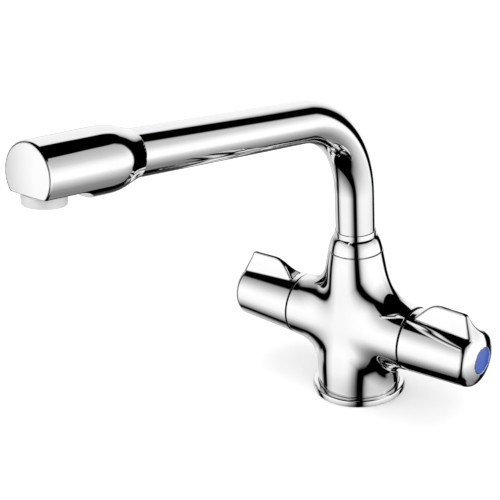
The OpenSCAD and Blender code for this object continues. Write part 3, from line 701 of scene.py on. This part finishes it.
def chrome(name, gap_shade=None):
    """Bright plate with faint smudges in its polish and a very shallow orange peel; where two distances are given,
    it is painted dark between them, a painted shade for the shadow in the gap between branch and handle."""
    look = Look(name)
    smudge = look.spread(look.noise(SMUDGE_SCALE, 4.0, 0.6), 0.42, 0.7)
    speck = look.spread(look.noise(SPECK_SCALE, 2.0), 0.55, 0.8)
    colour = look.blend(smudge, (PLATE_TINT, PLATE_TINT, PLATE_TINT * 1.005, 1),
                        (PLATE_WORN, PLATE_WORN, PLATE_WORN + 0.005, 1))
    # painted shade: the plate is darkened in the gap between branch and handle, where shadow falls
    if gap_shade:
        colour = look.blend(painted_gap_shade(look, *gap_shade), colour, paint([GAP_SHADE_TINT] * 3))
    look.set(Metallic=1.0, Base_Color=colour, Roughness=PLATE_SHINE + smudge * 0.02 + speck * 0.01,
             Normal=look.bump(look.noise(PEEL_SCALE, 1.0), PLATE_PEEL, 0.15))
    return look.material


def plastic(name, colour, rough, grain=0.00003, grain_scale=900.0, coat=0.0):
    """A moulded or lapped surface with a fine grain and slightly uneven colour."""
    look = Look(name)
    mottle = look.spread(look.noise(MOTTLE_SCALE, 3.0), 0.3, 0.7)
    look.set(Base_Color=look.blend(mottle, paint(colour), paint(colour, MOTTLE_SHARE)),
             Roughness=rough + mottle * 0.06, Normal=look.bump(look.noise(grain_scale, 2.0), grain, 0.4))
    if coat:
        look.set(Coat_Weight=coat, Coat_Roughness=COAT_ROUGHNESS)
    return look.material


def machined(name, colour, rough=0.22):
    """Turned metal with fine tool marks and slight tarnish."""
    look = Look(name)
    tarnish = look.spread(look.noise(TARNISH_SCALE, 4.0), 0.35, 0.75)
    look.set(Metallic=1.0, Base_Color=look.blend(tarnish, paint(colour), paint(colour, TARNISH_SHARE)),
             Roughness=rough + tarnish * 0.12, Normal=look.bump(look.noise(TOOL_SCALE, 1.0), TOOL_DEPTH, 0.3))
    return look.material


LOOKS = {
    # the body and handle plates carry painted shade in the gap between branch and handle
    "body_chrome": chrome("polished_body_plate", (BRANCH_END - 0.6, BRANCH_END + 1)),
    "collar_chrome": chrome("polished_collar_plate"),
    "spout_chrome": chrome("polished_spout_plate"),
    "nozzle_chrome": chrome("polished_nozzle_plate"),
    "handle_chrome": chrome("polished_handle_plate", (HANDLE_START - 1, HANDLE_START + 0.2)),
    "brass": machined("turned_brass", (0.78, 0.6, 0.3)),
    "steel": machined("plain_steel", (0.62, 0.62, 0.63)),
    "white_plastic": plastic("moulded_white", (0.85, 0.85, 0.83), 0.35),
    "aerator_white": plastic("aerator_white", (0.6, 0.6, 0.6), 0.32, coat=0.2),
    "aerator_mesh": plastic("aerator_grey", (0.7, 0.7, 0.69), 0.5),
    "ceramic": plastic("lapped_ceramic", (0.9, 0.88, 0.82), 0.12, coat=0.5),
    "index_blue": plastic("index_blue", (0.035, 0.095, 0.45), 0.3, coat=0.25),
    "index_red": plastic("index_red", (0.45, 0.012, 0.016), 0.3, coat=0.25),
    "black_rubber": plastic("black_rubber", (0.02, 0.02, 0.02), 0.6, 0.00006, 600.0),
}


def dress(piece, slot, body, *nodes):
    piece.data.materials.append(LOOKS[slot])
    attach(piece, body)
    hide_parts(*nodes)


def dress_frame():
    slots = {s["node"]: s["material_slot"] for s in frame["record"]["subparts"]}
    for node, obj in frame["nodes"].items():
        for holder in obj.material_slots:
            holder.material = LOOKS[slots[node]]


# ---- Studio
DOME_R, DOME_SIDES, DOME_RINGS = 8.0, 64, 33
FLOOR_HALF, FLOOR_DROP = 1.5, 0.0002
TO_DEGREES = 180 / math.pi
WORLD_STRENGTH, WORLD_COOL = 1.12, 1.005
PANEL_TURN, PANEL_SPAN = 45, 0.9
CARD_TURN, CARD_LOW, CARD_HIGH, CARD_STEEP = 167.5, 28, 30, 33
CARD_EDGE, CARD_SOFT_EDGE = 11, 15.5
LAMPS = (("overhead", (0, 0, 2.6), 5.0, 130.0), ("left", (-2.4, -2.2, 1.8), 2.5, 32.0),
         ("right", (2.4, -2.2, 1.8), 2.5, 32.0))


def stage_sheet(name, points, faces, look):
    mesh = bpy.data.meshes.new(name)
    mesh.from_pydata(points, [], faces)
    mesh.materials.append(look.material)
    sheet = bpy.data.objects.new(name, mesh)
    bpy.context.collection.objects.link(sheet)
    return sheet


def make_backdrop():
    """A pale dome far round the tap, which only the camera sees, so every view has a plain background."""
    lean = np.linspace(-math.pi / 2 + 0.001, math.pi / 2 - 0.001, DOME_RINGS)
    points, faces = turned([(DOME_R * math.cos(a), DOME_R * math.sin(a)) for a in lean], DOME_SIDES)
    look = Look("pale_backdrop")
    mottle = look.spread(look.noise(0.5, 2.0), 0.3, 0.7)
    look.set(Base_Color=(0, 0, 0, 1), Roughness=1.0, Emission_Strength=1.0,
             Emission_Color=look.blend(mottle, (1, 1, 1, 1), (0.99, 0.99, 0.99, 1)))
    backdrop = stage_sheet("backdrop", points.tolist(), faces[:-DOME_SIDES].tolist(), look)
    for way in ("glossy", "diffuse", "shadow", "transmission"):
        setattr(backdrop, "visible_" + way, False)


def make_floor():
    look = Look("pale_floor")
    mottle = look.spread(look.noise(3.0, 4.0), 0.3, 0.7)
    look.set(Base_Color=look.blend(mottle, (0.9, 0.9, 0.9, 1), (0.89, 0.89, 0.89, 1)), Roughness=0.9,
             Emission_Color=(1, 1, 1, 1), Emission_Strength=0.15)
    corners = [(x * FLOOR_HALF, y * FLOOR_HALF, -FLOOR_DROP) for x, y in ((-1, -1), (1, -1), (1, 1), (-1, 1))]
    floor = stage_sheet("floor", corners, [(0, 1, 2, 3)], look)
    floor.visible_glossy = False


class Room(Tree):
    """The light round the tap by direction, in degrees round from the front and up from level."""

    def __init__(self, world):
        super().__init__(world, "ShaderNodeBackground", "ShaderNodeOutputWorld")
        x, y, self.z = self.parts_of(self.add("ShaderNodeTexCoord", out="Generated"))
        self.turn = self.sum_of("ARCTAN2", x, 0 - y) * TO_DEGREES
        self.rise = self.sum_of("ARCSINE", self.z) * TO_DEGREES

    def round_at(self, stops, turn=None):
        return self.ramp(turn or self.turn, -180, 180, stops)

    def up_at(self, stops, rise=None):
        return self.ramp(rise or self.rise, -90, 90, stops)

    def over(self, value, least):
        """How far a value is over the least one, and 0 below it."""
        return self.sum_of("MAXIMUM", 0.0, value - least)


def front_wall(room):
    """A flat panel to the front's left, which faces the tap: its upper and lower edges run straight across."""
    facing = room.sum_of("COSINE", (room.turn + PANEL_TURN) * (PANEL_SPAN / TO_DEGREES))
    lean = room.sum_of("ARCTAN2", room.z, room.sum_of("SQRT", 1 - room.z * room.z) * facing) * TO_DEGREES
    by_rise = room.up_at([(-60, 0.8), (-36, 0.82), (-28, 0.85), (-24, 0.9), (-20, 0.93), (-10, 0.97), (0, 1)])
    by_lean = room.up_at([(-59.6, 0), (-58.2, 0.18), (-54, 0.24), (-49, 0.36), (-44, 0.52), (-39, 0.69), (-34, 0.85),
                          (-30, 0.94), (-26, 1), (1, 1), (8, 0.98), (14, 0.93), (20, 0.86), (28, 0.71), (36, 0.58),
                          (44, 0.48), (46.5, 0.43), (49, 0)], lean)
    by_turn = room.round_at([(-69, 0), (-66, 0.4), (-62.5, 0.66), (-56, 0.8), (-50, 0.91), (-42, 1), (-4, 1),
                             (4, 0.96), (12, 0.8), (17, 0.66), (22.5, 0.48), (26, 0.27), (30, 0)])
    return by_rise * by_lean * by_turn


def side_wall(room):
    """The wall on the right, which runs on behind the tap and fades there, below more than above."""
    by_rise = room.up_at([(-58, 0), (-54, 0.16), (-50, 0.3), (-44, 0.42), (-36, 0.6), (-28, 0.8), (-20, 1), (8, 1),
                          (16, 0.86), (28, 0.7), (36, 0.58), (44, 0.42), (50, 0.2), (56, 0)])
    by_turn = room.round_at([(43.5, 0), (47, 0.25), (50.5, 0.48), (56, 0.73), (62, 0.86), (72, 0.96), (84, 1),
                             (150, 1), (157, 0.85), (162, 0.65), (180, 0.6)])
    below = room.round_at([(110, 1), (118, 0.97), (126, 0.91), (134, 0.83), (143, 0.74), (152, 0.66), (162, 0.8),
                           (180, 0.8)])
    deep = 1 - room.ease(room.rise, -30, -16)
    shaded = 1 - 0.3 * (room.ease(room.turn, 112, 140) * room.ease(room.rise, -6, 14))
    return by_rise * (by_turn * (1 - deep + deep * below)) * shaded


def rear_wall(room):
    """The wall behind on the left, which shows other gaps above the tap's level than below it."""
    by_rise = room.up_at([(-56, 0), (-50, 0.05), (-36, 0.1), (-30, 0.4), (-26, 0.8), (-20, 0.96), (34, 0.9),
                          (40, 0.75), (44, 0.6), (48, 0.1), (50, 0)])
    slant = 10 * room.spread(room.rise, -29, -24)
    below = room.round_at([(-180, 1), (-150, 0.85), (-138, 0.56), (-120, 0.62), (-105, 0.74), (-97, 0.66),
                           (-92, 0.3), (-89, 0), (160, 0), (179, 1)], room.turn - slant)
    above = room.round_at([(-180, 0.3), (-174, 0.6), (-168, 0.82), (-160, 0.97), (-124, 0.95), (-112, 0.66),
                           (-96, 0.45), (-86, 0.22), (-82, 0), (160, 0), (179, 0.3)])
    high = room.ease(room.rise, -10, 4)
    return by_rise * (above * high + below * (1 - high))


def low_glow_left(room):
    return (room.up_at([(-55, 0), (-51, 0.45), (-32, 0.58), (-26, 0)])
            * room.round_at([(-142, 0), (-134, 1), (-100, 1), (-88, 0.6), (-82, 0)]))


def low_glow_right(room):
    return (room.up_at([(-70.5, 0), (-69, 0.22), (-60, 0.25), (-54, 0.12), (-48, 0)])
            * room.round_at([(105, 0), (130, 1), (176, 1), (180, 0)]))


def dark_corner(room):
    """0 in the dark corner high up on the left, and 1 elsewhere."""
    return 1 - room.ease(room.rise, 43, 48) * room.ease(-60 - room.turn, -4, 4) * room.ease(room.turn, -100, -90)


def dark_card(room):
    """0 on the dark card behind the tap, and 1 elsewhere; the card leans over and widens towards its top."""
    higher = room.over(room.rise, CARD_HIGH)
    steep = room.over(room.rise, CARD_STEEP) * 3
    lower = room.over(0 - room.rise, CARD_LOW) * 0.6
    off = room.turn - CARD_TURN - lower - higher * 1.3 + steep
    off = room.sum_of("ABSOLUTE", room.sum_of("WRAP", off, 180.0, -180.0))
    return room.ease(off - higher * 0.9 - steep, CARD_EDGE, CARD_SOFT_EDGE)


def make_world():
    """Pale walls with dark gaps between them, whose reflections are the dark lines in the plate."""
    world = bpy.data.worlds.new("studio")
    bpy.context.scene.world = world
    room = Room(world)
    light = front_wall(room) + side_wall(room) + rear_wall(room) + low_glow_left(room) + low_glow_right(room)
    light = light * dark_corner(room) * dark_card(room)
    room.set(Color=room.add("ShaderNodeCombineXYZ", None, light, light, light * WORLD_COOL),
             Strength=WORLD_STRENGTH)


def make_lights():
    for name, at, size, power in LAMPS:
        lamp = bpy.data.lights.new(name, "AREA")
        lamp.size = size
        lamp.energy = power
        holder = bpy.data.objects.new(name, lamp)
        bpy.context.collection.objects.link(holder)
        holder.location = at
        holder.rotation_euler = (-Vector(at)).to_track_quat("-Z", "Y").to_euler()
        holder.visible_glossy = False


place_camera()
dress(make_body(), "body_chrome", "tap_body", "body_casting")
dress(make_base_ring(), "body_chrome", "tap_body", "base_ring")
dress(make_collar(), "collar_chrome", "tap_body", "collar_nut")
dress(make_tube(), "spout_chrome", "spout", "spout_tube")
dress(make_nozzle(), "nozzle_chrome", "spout", "nozzle_shell")
dress(make_aerator(), "aerator_white", "spout", "aerator_housing")
for word, handle in make_handles():
    dress(handle, "handle_chrome", word + "_control", word + "_handle")
dress(make_index(1, "cold"), "index_blue", "cold_control", "cold_index_disc")
dress(make_index(-1, "hot"), "index_red", "hot_control", "hot_index_disc")
dress_frame()
make_backdrop()
make_floor()
make_world()
make_lights()
bpy.context.scene.view_settings.view_transform = "Standard"
